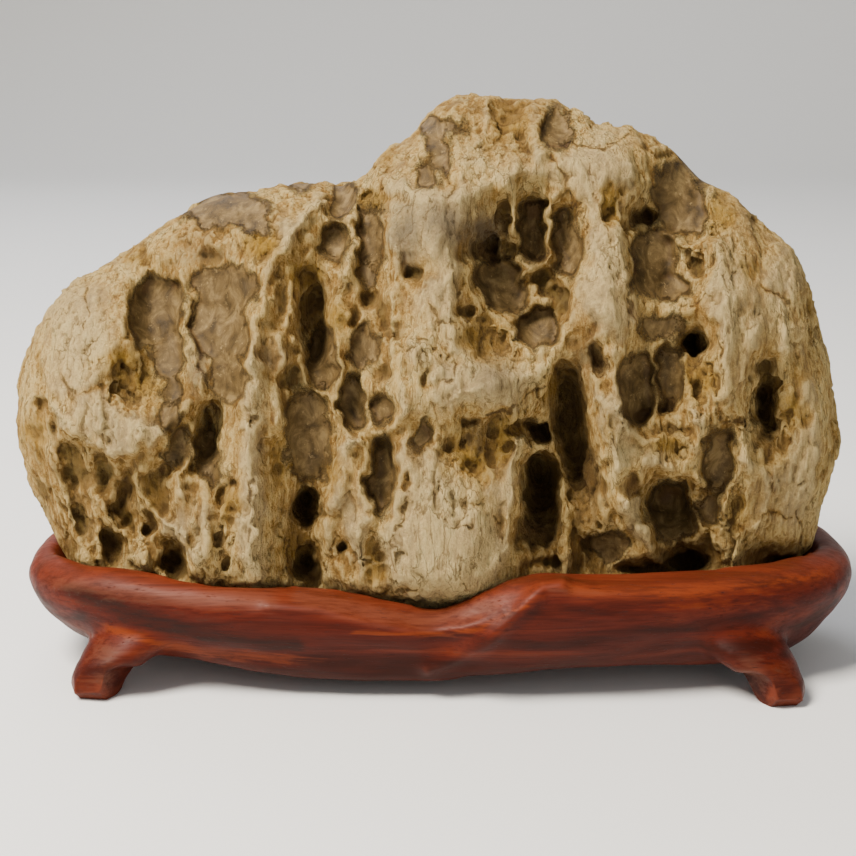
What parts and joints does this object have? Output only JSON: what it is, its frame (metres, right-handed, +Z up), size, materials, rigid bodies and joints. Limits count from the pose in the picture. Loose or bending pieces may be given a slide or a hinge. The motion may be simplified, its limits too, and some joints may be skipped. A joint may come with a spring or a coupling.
{
  "type": "scholar's rock on a carved stand",
  "caption": "Pitted, boulder-shaped viewing stone seated in a low carved hardwood stand with short splayed feet.",
  "frame": {"origin": "on the surface the feet stand on, under the middle of the bounding box", "axes": "+Z up, +X along the length of the stand to the right of a viewer who faces the front, -Y out of the front of the rock"},
  "size_m": [0.3076, 0.1264, 0.2059],
  "materials": {
    "rock": null,
    "stand": "satin oiled rosewood"
  },
  "bodies": {
    "root": {"rock": "rock", "stand": "stand"}
  },
  "joints": []
}
